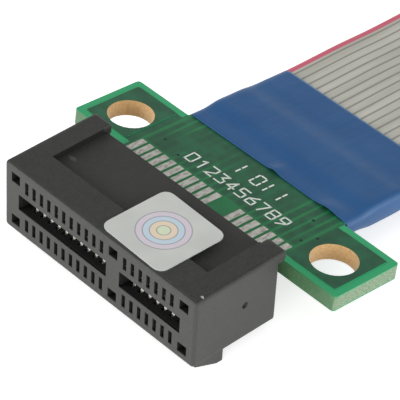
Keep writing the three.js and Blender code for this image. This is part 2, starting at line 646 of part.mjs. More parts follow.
function riserCable() {
  const part = new THREE.Group();
  part.add(socketAssembly());

  const onDroopingBoard = (along) => {
    const point = boardPoint(along, 0);
    return new THREE.Vector3(0, FACE_Y + point.x, AXIS_Z + point.y);
  };
  const start = onDroopingBoard(SOCKET_NECK_END + RIBBON_END_GAP);
  const leave = onDroopingBoard(SOCKET_SLEEVE_START + SLEEVE_LENGTH);
  const sleeveBehindNeck = SLEEVE_LENGTH + SLEEVE_GAP - NECK_LENGTH;
  const plugSleeveY = leave.y + RIBBON_FREE_LENGTH;
  const arrive = new THREE.Vector3(0, plugSleeveY, SLEEVE_HALF_HEIGHT);
  const end = new THREE.Vector3(0, plugSleeveY + sleeveBehindNeck - RIBBON_END_GAP, SLEEVE_HALF_HEIGHT);

  const plug = new THREE.Group();
  plug.position.set(0, plugSleeveY + sleeveBehindNeck, SLEEVE_HALF_HEIGHT);
  plug.add(plugBoard(), sleeve('plug_sleeve', -sleeveBehindNeck));
  part.add(plug);

  const route = ribbonRoute(start, leave, arrive, end);
  const off = (RIBBON_THICKNESS + RIBBON_SPACING) / 2;
  part.add(ribbon('ribbon_upper', route, off), ribbon('ribbon_lower', route, -off));
  return part;
}

export default riserCable();
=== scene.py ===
"""Looks of a one-lane riser cable: a card socket on a winged board, a sleeved joint and a ribbed ribbon.

Every length is in metres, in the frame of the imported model. The board group droops from the socket, so its
pieces are built in the board's own directions (across, along, off) and turned with one matrix.
"""

import logging
import math
from dataclasses import dataclass, field
from enum import Enum
from typing import Iterable, Sequence

import bmesh
import bpy
from mathutils import Matrix, Vector, noise


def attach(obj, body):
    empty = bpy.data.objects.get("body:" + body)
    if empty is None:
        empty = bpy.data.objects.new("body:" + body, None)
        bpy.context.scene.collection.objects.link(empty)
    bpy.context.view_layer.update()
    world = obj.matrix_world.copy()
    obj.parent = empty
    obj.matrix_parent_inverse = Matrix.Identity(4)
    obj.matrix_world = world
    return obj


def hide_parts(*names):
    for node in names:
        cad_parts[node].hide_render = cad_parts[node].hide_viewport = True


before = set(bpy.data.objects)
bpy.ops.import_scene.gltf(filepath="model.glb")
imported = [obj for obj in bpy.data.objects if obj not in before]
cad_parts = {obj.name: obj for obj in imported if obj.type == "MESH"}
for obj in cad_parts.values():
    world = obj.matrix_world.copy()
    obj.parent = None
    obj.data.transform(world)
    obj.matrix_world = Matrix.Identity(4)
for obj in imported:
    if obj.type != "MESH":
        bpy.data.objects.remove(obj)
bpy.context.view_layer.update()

MM = 0.001
BODY = "root"
log = logging.getLogger("riser")

Colour = tuple[float, float, float]
Point = tuple[float, float, float]


def linear(red: int, green: int, blue: int) -> Colour:
    """Turns a display colour of 0 to 255 into the linear values that shaders use."""
    return tuple((value / 255) ** 2.2 for value in (red, green, blue))


def smooth(low: float, high: float, value: float) -> float:
    """A step from 0 to 1 with soft ends between two values."""
    share = min(max((value - low) / (high - low), 0.0), 1.0)
    return share * share * (3 - 2 * share)


class Side(Enum):
    """The two ends of the cable."""

    SOCKET = "socket"
    PLUG = "plug"


class Value:
    """One output of a node, with the operators that build Math nodes from it."""

    def __init__(self, shader: "Shader", socket: bpy.types.NodeSocket) -> None:
        """Keeps the shader and the socket."""
        self.shader = shader
        self.socket = socket

    def _math(self, operation: str, *values: "Value | float") -> "Value":
        """Adds a Math node on the given values."""
        return self.shader.node("ShaderNodeMath", {"operation": operation}, dict(enumerate(values)))

    def __add__(self, other: "Value | float") -> "Value":
        """Sum."""
        return self._math("ADD", self, other)

    __radd__ = __add__

    def __sub__(self, other: "Value | float") -> "Value":
        """Difference."""
        return self._math("SUBTRACT", self, other)

    def __rsub__(self, other: float) -> "Value":
        """Difference from a number."""
        return self._math("SUBTRACT", other, self)

    def __mul__(self, other: "Value | float") -> "Value":
        """Product."""
        return self._math("MULTIPLY", self, other)

    __rmul__ = __mul__

    def __truediv__(self, other: "Value | float") -> "Value":
        """Quotient."""
        return self._math("DIVIDE", self, other)

    def __gt__(self, other: "Value | float") -> "Value":
        """1 where this is the greater."""
        return self._math("GREATER_THAN", self, other)

    def __lt__(self, other: "Value | float") -> "Value":
        """1 where this is the smaller."""
        return self._math("LESS_THAN", self, other)

    def __abs__(self) -> "Value":
        """Size without sign."""
        return self._math("ABSOLUTE", self)

    def power(self, exponent: float) -> "Value":
        """This to a power."""
        return self._math("POWER", self, exponent)

    def wrapped(self, period: float) -> "Value":
        """The rest after whole periods, from 0 up to the period."""
        return self._math("FLOORED_MODULO", self, period)

    def either(self, other: "Value") -> "Value":
        """The greater of two masks."""
        return self._math("MAXIMUM", self, other)

    def ramp(self, low: float, high: float) -> "Value":
        """A soft step from 0 at low to 1 at high."""
        settings = {"interpolation_type": "SMOOTHSTEP"}
        return self.shader.node("ShaderNodeMapRange", settings, {0: self, 1: low, 2: high, 3: 0.0, 4: 1.0})

    def near(self, centre: float, reach: float, edge: float) -> "Value":
        """A soft mask, 1 within reach of a value."""
        return 1 - abs(self - centre).ramp(reach - edge, reach + edge)


Input = Value | float | Sequence[float] | str


class Shader:
    """A material's node tree and its one Principled surface."""

    def __init__(self, name: str) -> None:
        """Makes an empty material with a surface and an output."""
        self.material = bpy.data.materials.new(name)
        self.material.use_nodes = True
        self.tree = self.material.node_tree
        self.tree.nodes.clear()
        self.surface = self.tree.nodes.new("ShaderNodeBsdfPrincipled")
        self.output = self.tree.nodes.new("ShaderNodeOutputMaterial").inputs["Surface"]
        self.tree.links.new(self.surface.outputs[0], self.output)
        self.place = self.node("ShaderNodeTexCoord", output="Object")
        self.facing = self.node("ShaderNodeNewGeometry", output="Normal")

    def node(
        self,
        kind: str,
        settings: dict[str, object] | None = None,
        inputs: dict[int | str, Input] | None = None,
        output: int | str = 0,
    ) -> Value:
        """Adds one node and returns one of its outputs.

        Args:
            kind: the node's type.
            settings: its own settings, set before its sockets.
            inputs: values or links of its sockets, by number or name.
            output: the output wanted, by number or name.

        Returns:
            The output, wrapped.
        """
        node = self.tree.nodes.new(kind)
        for key, setting in (settings or {}).items():
            setattr(node, key, setting)
        for key, entry in (inputs or {}).items():
            self.feed(node.inputs[key], entry)
        return Value(self, node.outputs[output])

    def feed(self, socket: bpy.types.NodeSocket, entry: Input) -> None:
        """Links a value to a socket, or sets the socket to a number, colour or vector."""
        if isinstance(entry, Value):
            self.tree.links.new(entry.socket, socket)
        elif socket.type == "RGBA":
            socket.default_value = (*entry[:3], 1.0)
        else:
            socket.default_value = entry

    def mix(self, share: Value | float, first: Value | Colour, second: Value | Colour) -> Value:
        """Mixes two colours, from the first at 0 to the second at 1."""
        inputs = {0: share, 6: first, 7: second}
        return self.node("ShaderNodeMix", {"data_type": "RGBA"}, inputs, output=2)

    def vector(self, operation: str, first: Input, second: Input, output: int | str = 0) -> Value:
        """Adds a Vector Math node."""
        return self.node("ShaderNodeVectorMath", {"operation": operation}, {0: first, 1: second}, output)

    def along(self, direction: Sequence[float], origin: Sequence[float] = (0.0, 0.0, 0.0)) -> Value:
        """How far a surface point lies along a direction from an origin, in metres."""
        reach = self.vector("SUBTRACT", self.place, tuple(origin))
        return self.vector("DOT_PRODUCT", reach, tuple(direction), "Value")

    def faces(self, direction: Sequence[float]) -> Value:
        """How far the surface faces a direction, from -1 to 1."""
        return self.vector("DOT_PRODUCT", self.facing, tuple(direction), "Value")

    def noise(self, size: float, detail: float = 2.0, stretch: Sequence[float] = (1.0, 1.0, 1.0)) -> Value:
        """Soft noise from 0 to 1 with lumps of a size in metres, stretched along the row's axes."""
        scale = tuple(1 / (size * share) for share in stretch)
        place = self.vector("MULTIPLY", self.place, scale)
        return self.node("ShaderNodeTexNoise", {}, {"Vector": place, "Scale": 1.0, "Detail": detail})

    def bump(self, height: Value, depth: float) -> Value:
        """Turns a height of 0 to 1 into a normal, with its full depth in metres."""
        return self.node("ShaderNodeBump", {}, {"Height": height, "Distance": depth, "Strength": 1.0})

    def finish(self, **inputs: Input) -> bpy.types.Material:
        """Sets the surface's own sockets, words joined with underscores, and returns the material."""
        for name, entry in inputs.items():
            self.feed(self.surface.inputs[name.replace("_", " ").title().replace("Ior", "IOR")], entry)
        return self.material


@dataclass(frozen=True)
class BoardPlane:
    """The drooping board's own directions and its starting point, in the row frame."""

    origin: Point = (0.0, 6.025 * MM, 4.87 * MM)
    droop: float = math.radians(5.1)

    @property
    def along(self) -> Point:
        """The direction from the socket towards the sleeve."""
        return (0.0, math.cos(self.droop), -math.sin(self.droop))

    @property
    def off(self) -> Point:
        """The direction out of the board's upper face."""
        return (0.0, math.sin(self.droop), math.cos(self.droop))

    @property
    def matrix(self) -> Matrix:
        """Takes a point given across, along and off the board to the row frame."""
        turned = Matrix.Rotation(-self.droop, 4, "X")
        return Matrix.Translation(self.origin) @ turned


@dataclass(frozen=True)
class PlugPlane(BoardPlane):
    """The plug board lies level, and its along direction starts at the joint's end."""

    origin: Point = (0.0, 176.680 * MM, 1.41 * MM)
    droop: float = 0.0


SOCKET_PLANE = BoardPlane()
PLUG_PLANE = PlugPlane()


def add_piece(name: str, mesh: bpy.types.Mesh, material: bpy.types.Material) -> bpy.types.Object:
    """Adds a piece that rides on the part's one body.

    Args:
        name: the piece's plain name.
        mesh: its mesh, already in the row frame.
        material: its finish.

    Returns:
        The new object.
    """
    piece = bpy.data.objects.new(name, mesh)
    bpy.context.scene.collection.objects.link(piece)
    mesh.materials.append(material)
    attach(piece, BODY)
    log.info("made %s with %d faces", name, len(mesh.polygons))
    return piece


def mesh_of(
    name: str, shape: bmesh.types.BMesh, matrix: Matrix | None = None, flat: bool = False
) -> bpy.types.Mesh:
    """Turns a bmesh into a mesh with its faces turned outwards.

    Args:
        name: the mesh's name.
        shape: the bmesh, which is freed.
        matrix: takes the shape to the row frame, if it isn't there yet.
        flat: shades the faces flat, and otherwise they are smooth.

    Returns:
        The mesh.
    """
    if matrix is not None:
        bmesh.ops.transform(shape, matrix=matrix, verts=shape.verts)
    bmesh.ops.recalc_face_normals(shape, faces=shape.faces)
    mesh = bpy.data.meshes.new(name)
    shape.to_mesh(mesh)
    shape.free()
    for face in mesh.polygons:
        face.use_smooth = not flat
    return mesh


def join_rings(shape: bmesh.types.BMesh, rows: Sequence[Sequence[bmesh.types.BMVert]]) -> None:
    """Joins each closed ring of vertices to the next one with faces."""
    for before, after in zip(rows, rows[1:]):
        for i in range(len(before)):
            j = (i + 1) % len(before)
            shape.faces.new((before[i], before[j], after[j], after[i]))


def loft(shape: bmesh.types.BMesh, rings: Sequence[Sequence[Vector]]) -> None:
    """Joins closed rings of equal length into a tube with closed ends."""
    rows = [[shape.verts.new(point) for point in ring] for ring in rings]
    join_rings(shape, rows)
    shape.faces.new(rows[0])
    shape.faces.new(list(reversed(rows[-1])))


@dataclass(frozen=True)
class Lamp:
    """One soft square lamp: where it hangs, its width in metres and its power in watts."""

    name: str
    place: Point
    size: float
    power: float


@dataclass
class Studio:
    """The camera at the photograph's angle, the pale floor, the white surround and the lamps."""

    centre: Point = (125.9664 * MM, -118.5670 * MM, 156.7206 * MM)
    right: Point = (0.682334, 0.729531, 0.046960)
    down: Point = (0.496225, -0.415036, -0.762565)
    away: Point = (-0.536825, 0.543663, -0.645205)
    focal_share: float = 2617.304 / 400
    sensor: float = 36.0
    floor_gap: float = 0.02 * MM
    floor_reach: float = 3.0
    floor_colour: Colour = (0.8, 0.8, 0.8)
    floor_glow: float = 0.62
    fill_level: float = 0.62
    ceiling_level: float = 0.1
    ceiling_heights: tuple[float, float] = (0.15, 0.62)
    lens_range: tuple[float, float] = (0.01, 20.0)
    lamps: tuple[Lamp, ...] = (
        Lamp("key", (-0.35, -0.50, 0.26), 0.30, 2.2),
        Lamp("front", (0.34, -0.60, 0.14), 0.40, 1.6),
        Lamp("side", (0.60, 0.16, 0.16), 0.36, 1.8),
    )

    def build(self) -> None:
        """Makes the whole surround."""
        self.camera()
        self.floor()
        self.surround()
        for lamp in self.lamps:
            self.hang(lamp)

    def camera(self) -> None:
        """Places the camera."""
        data = bpy.data.cameras.new("photo_camera")
        data.sensor_width = self.sensor
        data.lens = self.focal_share * self.sensor
        data.clip_start, data.clip_end = self.lens_range
        camera = bpy.data.objects.new("photo_camera", data)
        right, up, back = Vector(self.right), -Vector(self.down), -Vector(self.away)
        turn = Matrix((right, up, back)).transposed().to_4x4()
        camera.matrix_world = Matrix.Translation(self.centre) @ turn
        bpy.context.scene.collection.objects.link(camera)
        bpy.context.scene.camera = camera

    def floor(self) -> None:
        """Lays a pale floor that looks white and keeps the part's shadow."""
        shape = bmesh.new()
        bmesh.ops.create_grid(shape, x_segments=1, y_segments=1, size=self.floor_reach)
        mesh = mesh_of("floor", shape, Matrix.Translation((0, 0, -self.floor_gap)), flat=True)
        shader = Shader("pale_floor")
        seen = self.seen_directly(shader)
        glow = shader.node("ShaderNodeEmission", {}, {"Color": (1, 1, 1), "Strength": seen * self.floor_glow})
        both = shader.node("ShaderNodeAddShader", {}, {0: Value(shader, shader.surface.outputs[0]), 1: glow})
        shader.tree.links.new(both.socket, shader.output)
        shader.finish(base_color=self.floor_colour, roughness=0.9, specular_ior_level=0.0)
        mesh.materials.append(shader.material)
        floor = bpy.data.objects.new("floor", mesh)
        bpy.context.scene.collection.objects.link(floor)

    @staticmethod
    def seen_directly(shader: Shader) -> Value:
        """1 for rays of the camera, of reflections and through clear pieces."""
        path = "ShaderNodeLightPath"
        camera = shader.node(path, output="Is Camera Ray")
        glossy = shader.node(path, output="Is Glossy Ray")
        through = shader.node(path, output="Is Transmission Ray")
        return camera.either(glossy).either(through)

    def surround(self) -> None:
        """Lights the part evenly, with white to be seen round it and a dimmer ceiling in reflections."""
        world = bpy.data.worlds.new("surround")
        world.use_nodes = True
        bpy.context.scene.world = world
        shader = WorldShader(world)
        direction = shader.node("ShaderNodeTexCoord", output="Generated")
        height = shader.node("ShaderNodeSeparateXYZ", {}, {0: direction}, "Z")
        sky = 1 - height.ramp(*self.ceiling_heights) * (1 - self.ceiling_level)
        camera = shader.node("ShaderNodeLightPath", output="Is Camera Ray")
        through = shader.node("ShaderNodeLightPath", output="Is Transmission Ray")
        glossy = shader.node("ShaderNodeLightPath", output="Is Glossy Ray")
        seen = camera.either(through)
        strength = seen + (1 - seen) * (glossy * sky + (1 - glossy) * self.fill_level)
        shader.feed(shader.background.inputs["Strength"], strength)

    @staticmethod
    def hang(lamp: Lamp) -> None:
        """Hangs a lamp that looks at the socket."""
        data = bpy.data.lights.new(lamp.name, "AREA")
        data.shape = "SQUARE"
        data.size = lamp.size
        data.energy = lamp.power
        light = bpy.data.objects.new(lamp.name, data)
        light.location = lamp.place
        light.rotation_euler = (-Vector(lamp.place)).to_track_quat("-Z", "Y").to_euler()
        bpy.context.scene.collection.objects.link(light)


class WorldShader(Shader):
    """The world's node tree, with the same ways of adding nodes."""

    def __init__(self, world: bpy.types.World) -> None:
        """Keeps the world's tree with one background."""
        self.tree = world.node_tree
        self.tree.nodes.clear()
        self.background = self.tree.nodes.new("ShaderNodeBackground")
        self.background.inputs["Color"].default_value = (1, 1, 1, 1)
        output = self.tree.nodes.new("ShaderNodeOutputWorld")
        self.tree.links.new(self.background.outputs[0], output.inputs["Surface"])


@dataclass(frozen=True)
class MouldedPlastic:
    """Dark glass-filled plastic; each share says how much of a tone, mark or painted shade covers the colour.
    """

    colour: Colour = linear(53, 53, 51)
    pale: Colour = linear(64, 64, 62)
    # near black: painted shade inside the openings and on the left ear's wall, and the colour of the real
    # gate mark
    painted_shade_and_gate: Colour = linear(9, 9, 9)
    scuff: Colour = linear(168, 168, 164)
    faint: Colour = linear(92, 92, 90)
    grain: float = 0.14 * MM
    mottle: float = 1.1 * MM
    grain_depth: float = 0.014 * MM
    face: float = -3.275 * MM
    axis: float = 4.87 * MM
    inner_half_height: float = 2.98 * MM
    inner_half_width: float = 12.2 * MM
    rim: float = 0.04 * MM
    mottle_share: float = 0.35
    faint_share: float = 0.6
    # how much painted shade covers the left ear's low wall
    wall_shade_share: float = 0.85
    gate_share: float = 0.8
    lit_share: float = 0.3
    roughness: float = 0.46
    inner_roughness: float = 0.4
    raggedness: float = 1.6
    scuff_place: Point = (12.1 * MM, -2.25 * MM, 8.62 * MM)
    scuff_size: Point = (0.2 * MM, 0.13 * MM, 0.3 * MM)
    faint_place: Point = (-9.35 * MM, 1.95 * MM, 7.97 * MM)
    faint_size: Point = (0.46 * MM, 0.26 * MM, 1.0 * MM)
    ear_wall: float = -10.1 * MM
    recess_floor: float = 7.97 * MM
    gate_place: Point = (12.5 * MM, 2.625 * MM, 5.05 * MM)
    gate_reach: float = 0.42 * MM

    def material(self) -> bpy.types.Material:
        """Makes the finish: grained, with painted shade inside its openings and on the left ear's wall, a
        dark gate mark and a few scuffs.
        """
        shader = Shader("moulded_plastic")
        mottle = shader.noise(self.mottle, 3.0)
        grain = shader.noise(self.grain, 3.0)
        base = shader.mix(grain.ramp(0.38, 0.72), self.colour, self.pale)
        base = shader.mix(mottle.ramp(0.3, 0.75) * self.mottle_share, base, self.pale)
        faint_mark = self.streak(shader, self.faint_place, self.faint_size, grain)
        base = shader.mix(faint_mark * self.faint_share, base, self.faint)
        # painted shade on the left ear's low wall
        base = shader.mix(self.left_ear_wall_shade(shader) * self.wall_shade_share, base, self.painted_shade_and_gate)
        base = shader.mix(self.streak(shader, self.scuff_place, self.scuff_size, grain), base, self.scuff)
        gate = shader.vector("DISTANCE", shader.place, self.gate_place, "Value")
        gate_mark = 1 - gate.ramp(0.5 * self.gate_reach, self.gate_reach)
        base = shader.mix(gate_mark * self.gate_share, base, self.painted_shade_and_gate)
        # painted shade: the insides of the openings are darkened towards black
        inside = self.inside(shader)
        base = shader.mix(inside, base, self.painted_shade_and_gate)
        rough = self.roughness + 0.1 * grain + self.inner_roughness * inside
        normal = shader.bump(grain, self.grain_depth)
        return shader.finish(base_color=base, roughness=rough, normal=normal, specular_ior_level=0.5)

    def inside(self, shader: Shader) -> Value:
        """Where shade is painted: 1 within the card slot, cells, blind windows and pocket, but less on walls
        that face +X, which are kept lit.
        """
        deep = shader.along((0, 1, 0), (0, self.face, 0)).ramp(self.rim, 4 * self.rim)
        height = abs(shader.along((0, 0, 1), (0, 0, self.axis)))
        width = abs(shader.along((1, 0, 0)))
        # walls facing +X get less painted shade, as if lit from that side
        lit_wall = shader.faces((1, 0, 0)).ramp(0.6, 0.9) * self.lit_share
        return deep * (height < self.inner_half_height) * (width < self.inner_half_width) * (1 - lit_wall)

    def left_ear_wall_shade(self, shader: Shader) -> Value:
        """1 on the low wall of the left ear, which faces the recess; painted shade goes here."""
        at_wall = shader.along((1, 0, 0)).near(self.ear_wall, 2 * self.rim, self.rim)
        above = shader.along((0, 0, 1)) > self.recess_floor
        return at_wall * above * shader.faces((1, 0, 0)).ramp(0.4, 0.8)

    def streak(self, shader: Shader, place: Point, size: Point, grain: Value) -> Value:
        """A ragged mark.

        Args:
            shader: the finish that it belongs to.
            place: its middle.
            size: its half width in each of the row's directions.
            grain: the noise that frays its outline.

        Returns:
            A mask, 1 on the mark.
        """
        reach = shader.vector("SUBTRACT", shader.place, place)
        share = shader.vector("DIVIDE", reach, size)
        length = shader.node("ShaderNodeVectorMath", {"operation": "LENGTH"}, {0: share}, "Value")
        return 1 - (length + (grain - 0.5) * self.raggedness).ramp(0.7, 1.1)


@dataclass(frozen=True)
class SpringMetal:
    """Stamped and bright-plated contact springs."""

    bright: Colour = linear(255, 253, 246)
    dull: Colour = linear(236, 230, 214)
    grain: float = 0.25 * MM

    def material(self) -> bpy.types.Material:
        """Makes the finish: brushed, slightly uneven metal."""
        shader = Shader("spring_metal")
        grain = shader.noise(self.grain, 3.0, (0.3, 3.0, 1.0))
        base = shader.mix(grain.ramp(0.3, 0.7), self.dull, self.bright)
        return shader.finish(base_color=base, metallic=0.8, roughness=0.24 + 0.14 * grain)


@dataclass(frozen=True)
class BoardLayout:
    """Where the copper, pads, holes and vias of a board lie, across and along it."""

    thickness: float = 1.6 * MM
    relief: float = 0.06 * MM
    half_span: float = 17.1 * MM
    start: float = 2.9 * MM
    end: float = 11.05 * MM
    border: float = 0.75 * MM
    neck_half_width: float = 10.15 * MM
    pads: tuple[float, float] = (0.2 * MM, 4.85 * MM)
    holes: tuple[tuple[float, float], ...] = ((-13.35 * MM, 6.6 * MM), (13.35 * MM, 6.6 * MM))
    hole_radius: float = 2.25 * MM
    vias: tuple[tuple[float, float], ...] = (
        (10.3 * MM, 7.6 * MM), (9.6 * MM, 6.2 * MM), (-8.6 * MM, 6.6 * MM),
        (3.1 * MM, 6.1 * MM), (8.2 * MM, 9.2 * MM), (-6.1 * MM, 5.9 * MM),
    )


@dataclass(frozen=True)
class BoardFinish:
    """Glass laminate under green solder mask, with copper that darkens it, tinned pads and bare edges."""

    layout: BoardLayout
    plane: BoardPlane
    gold: bool = False
    over_copper: Colour = linear(36, 84, 60)
    over_laminate: Colour = linear(34, 118, 70)
    border: Colour = linear(48, 164, 108)
    laminate: Colour = linear(158, 172, 146)
    edge: Colour = linear(76, 128, 84)
    bore: Colour = linear(222, 184, 128)
    tin: Colour = linear(208, 206, 198)
    tin_dark: Colour = linear(164, 160, 152)
    via: Colour = linear(12, 34, 22)
    gold_dark: Colour = linear(214, 174, 92)
    gold_bright: Colour = linear(238, 206, 130)
    bore_dark: Colour = linear(200, 158, 104)
    via_radius: float = 0.16 * MM
    coat: float = 0.35
    trace_pitch: float = 1.0 * MM

    def material(self) -> bpy.types.Material:
        """Makes the finish from the places of the layout."""
        shader = Shader("board_" + ("plug" if self.gold else "socket"))
        layout = self.layout
        across = shader.along((1, 0, 0), self.plane.origin)
        along = shader.along(self.plane.along, self.plane.origin)
        off = shader.along(self.plane.off, self.plane.origin)
        upright = abs(shader.faces(self.plane.off))
        flat = upright.ramp(0.4, 0.7)
        mask_tone = shader.noise(1.4 * MM, 3.0)

        green = self._mask_colour(shader, across, along, mask_tone)
        side = self._side_colour(shader, across, along, off)
        base = shader.mix(flat, side, green)

        above_mask = abs(off) - 0.5 * layout.thickness
        proud = above_mask.ramp(0.2 * layout.relief, 0.6 * layout.relief)
        pad = proud * self._metal_zone(across, along)
        lumps = shader.noise(0.42 * MM, 3.0, (0.6, 1.6, 1.0))
        metal_colour = self._metal_colour(shader, lumps, along)
        base = shader.mix(pad, base, metal_colour)
        rough = (1 - pad) * (0.3 + 0.12 * mask_tone) + pad * (0.2 + 0.3 * lumps)
        height = pad * lumps + (1 - pad) * mask_tone * 0.2
        return shader.finish(
            base_color=base,
            metallic=pad * (0.5 if self.gold else 0.15),
            roughness=rough,
            coat_weight=(1 - pad) * flat * self.coat,
            coat_roughness=0.12,
            normal=shader.bump(height, 0.05 * MM),
        )

    def _metal_zone(self, across: Value, along: Value) -> Value:
        """1 where raised metal is bare: the pads, and the joints at the board's neck."""
        layout = self.layout
        inside = 1 - abs(across).ramp(layout.neck_half_width, layout.neck_half_width + 0.1 * MM)
        start, end = layout.pads
        middle = (start + end) / 2
        pads = along.near(middle, (end - start) / 2 + 0.1 * MM, 0.02 * MM)
        joints = (along > layout.end + 2 * MM) if not self.gold else (along < 3 * MM)
        return inside * pads.either(joints)

    def _metal_colour(self, shader: Shader, lumps: Value, along: Value) -> Value:
        """Tin with darker streaks, or gold on the plug's fingers."""
        if not self.gold:
            return shader.mix(lumps.ramp(0.32, 0.6), self.tin_dark, self.tin)
        finger = along > self.layout.pads[0] - 0.2 * MM
        gold = shader.mix(lumps.ramp(0.3, 0.7), self.gold_dark, self.gold_bright)
        return shader.mix(finger, self.tin, gold)

    def _mask_colour(self, shader: Shader, across: Value, along: Value, tone: Value) -> Value:
        """The mask's green over traces, bare laminate, the border and the dark vias."""
        layout = self.layout
        waver = (shader.noise(3.2 * MM, 1.0, (1.0, 4.0, 1.0)) - 0.5) * (0.5 * self.trace_pitch)
        stripe = (across + waver).wrapped(self.trace_pitch) / self.trace_pitch
        trace = stripe.near(0.5, 0.36, 0.08)
        plain = shader.noise(5.0 * MM, 1.0, (1.0, 2.5, 1.0)).ramp(0.42, 0.58)
        middle = 1 - abs(across).ramp(layout.neck_half_width - 0.6 * MM, layout.neck_half_width - 0.2 * MM)
        behind_pads = along.ramp(layout.pads[1] + 0.1 * MM, layout.pads[1] + 0.5 * MM)
        traces = trace.either(plain * 0.85) * middle * behind_pads
        land = abs(across).ramp(layout.neck_half_width - 0.2 * MM, layout.neck_half_width + 0.1 * MM)
        base = shader.mix(traces.either(land), self.over_laminate, self.over_copper)
        base = shader.mix(tone.ramp(0.3, 0.8) * 0.18, base, self.border)
        inner_span = layout.half_span - layout.border
        inner_start = layout.start + layout.border
        inner_end = layout.end - layout.border
        rim_across = abs(across).ramp(inner_span - 0.1 * MM, inner_span)
        rim_front = 1 - along.ramp(inner_start - 0.05 * MM, inner_start + 0.05 * MM)
        rim_rear = along.ramp(inner_end - 0.05 * MM, inner_end + 0.05 * MM)
        wing = abs(across).ramp(layout.neck_half_width, layout.neck_half_width + 0.2 * MM)
        rim = rim_across.either(wing * rim_front.either(rim_rear))
        base = shader.mix(rim, base, self.border)
        for x, y in layout.vias:
            base = shader.mix(self._disc(across, along, x, y, self.via_radius), base, self.via)
        return base

    def _side_colour(self, shader: Shader, across: Value, along: Value, off: Value) -> Value:
        """The cut edges: pale laminate with mask at its upper and lower lips, and tan hole walls."""
        layout = self.layout
        weave = shader.noise(0.3 * MM, 3.0, (1.0, 1.0, 0.25))
        lip = abs(off).ramp(0.5 * layout.thickness - 0.22 * MM, 0.5 * layout.thickness)
        pale = shader.mix(weave.ramp(0.3, 0.7), self.edge, self.laminate)
        side = shader.mix(lip, pale, self.border)
        sideways = abs(shader.faces((1, 0, 0))).ramp(0.4, 0.7)
        side = shader.mix((1 - sideways) * 0.7, side, self.edge)
        for x, y in layout.holes:
            wall = self._disc(across, along, x, y, layout.hole_radius + 0.1 * MM)
            side = shader.mix(wall, side, shader.mix(weave.ramp(0.3, 0.7), self.bore, self.bore_dark))
        return side

    @staticmethod
    def _disc(across: Value, along: Value, x: float, y: float, radius: float) -> Value:
        """A mask, 1 within a radius of a place on the board."""
        distance = ((across - x) * (across - x) + (along - y) * (along - y)).power(0.5)
        return 1 - distance.ramp(radius - 0.03 * MM, radius + 0.03 * MM)


@dataclass(frozen=True)
class SleeveFilm:
    """Thin blue shrink film with soft wrinkles, a painted sheen on its rounded sides and painted light on its
    cut edge.
    """

    colour: Colour = linear(38, 84, 134)
    pale: Colour = linear(46, 92, 142)
    # paler blue: a painted sheen on the rounded sides, and the colour of the real scratches
    sheen_and_scratch: Colour = linear(70, 108, 154)
    # painted light on the film's cut edge
    cut: Colour = linear(112, 164, 204)
    fold_start: float = 10.1 * MM

    def material(self, plane: BoardPlane, ribbon_end: float, way: float) -> bpy.types.Material:
        """Makes the finish for one sleeve.

        Args:
            plane: the plane that the sleeve follows.
            ribbon_end: where along that plane the sleeve lets the ribbons out.
            way: 1 where the ribbons leave along the plane's direction, -1 where against it.

        Returns:
            The material.
        """
        shader = Shader("sleeve_film")
        along = shader.along(plane.along, plane.origin)
        across = shader.along((1, 0, 0), plane.origin)
        cloud = shader.noise(5.0 * MM, 3.0)
        streak = shader.noise(1.3 * MM, 3.0, (0.5, 4.0, 1.0))
        base = shader.mix(cloud.ramp(0.3, 0.7) * 0.6, self.colour, self.pale)
        # painted sheen: faces turned partway to the sides are lighter
        edge_on = abs(shader.faces((1, 0, 0)))
        turned = edge_on.ramp(0.35, 0.75) * (1 - edge_on.ramp(0.8, 0.97) * 1.2)
        base = shader.mix(turned * 0.8, base, self.sheen_and_scratch)
        # painted light along the cut edge where the ribbons leave
        cut_edge_light = 1 - ((ribbon_end - along) * way).ramp(0.06 * MM, 0.16 * MM)
        base = shader.mix(cut_edge_light * 0.7, base, self.cut)
        scratch = shader.noise(0.5 * MM, 4.0, (6.0, 0.4, 1.0)).ramp(0.72, 0.8)
        base = shader.mix(scratch * 0.2 * across.near(0.0, self.fold_start, 0.5 * MM), base, self.sheen_and_scratch)
        height = 0.7 * cloud + 0.3 * streak
        return shader.finish(
            base_color=base,
            roughness=0.38 + 0.12 * streak,
            normal=shader.bump(height, 0.12 * MM),
        )


@dataclass(frozen=True)
class RibbonInsulation:
    """Grey ribbed insulation with a red edge wire and painted shade in its grooves."""

    colour: Colour = linear(172, 171, 161)
    pale: Colour = linear(188, 187, 178)
    # painted shade in the grooves between wires
    groove_shade: Colour = linear(136, 135, 127)
    red: Colour = linear(200, 92, 112)

    def material(self, ribbon: "RibbonShape") -> bpy.types.Material:
        """Makes the finish for a ribbon of a given shape."""
        shader = Shader("ribbon_insulation")
        across = shader.along((1, 0, 0), (ribbon.left, 0, 0))
        place = across.wrapped(ribbon.pitch) / ribbon.pitch
        # painted shade: the grooves between wires, on faces turned up or down, are darker
        groove_shade = (1 - place.near(0.5, 0.40, 0.07)) * abs(shader.faces((0, 0, 1))).ramp(0.3, 0.7)
        tone = shader.noise(3.0 * MM, 3.0, (0.4, 6.0, 1.0))
        grey = shader.mix(tone.ramp(0.3, 0.7), self.colour, self.pale)
        grey = shader.mix(groove_shade * 0.85, grey, self.groove_shade)
        edge = 1 - across.ramp(0.62 * ribbon.pitch, 0.74 * ribbon.pitch)
        base = shader.mix(edge, grey, self.red)
        grain = shader.noise(0.3 * MM, 3.0)
        return shader.finish(
            base_color=base, roughness=0.42 + 0.14 * grain, normal=shader.bump(grain, 0.01 * MM))


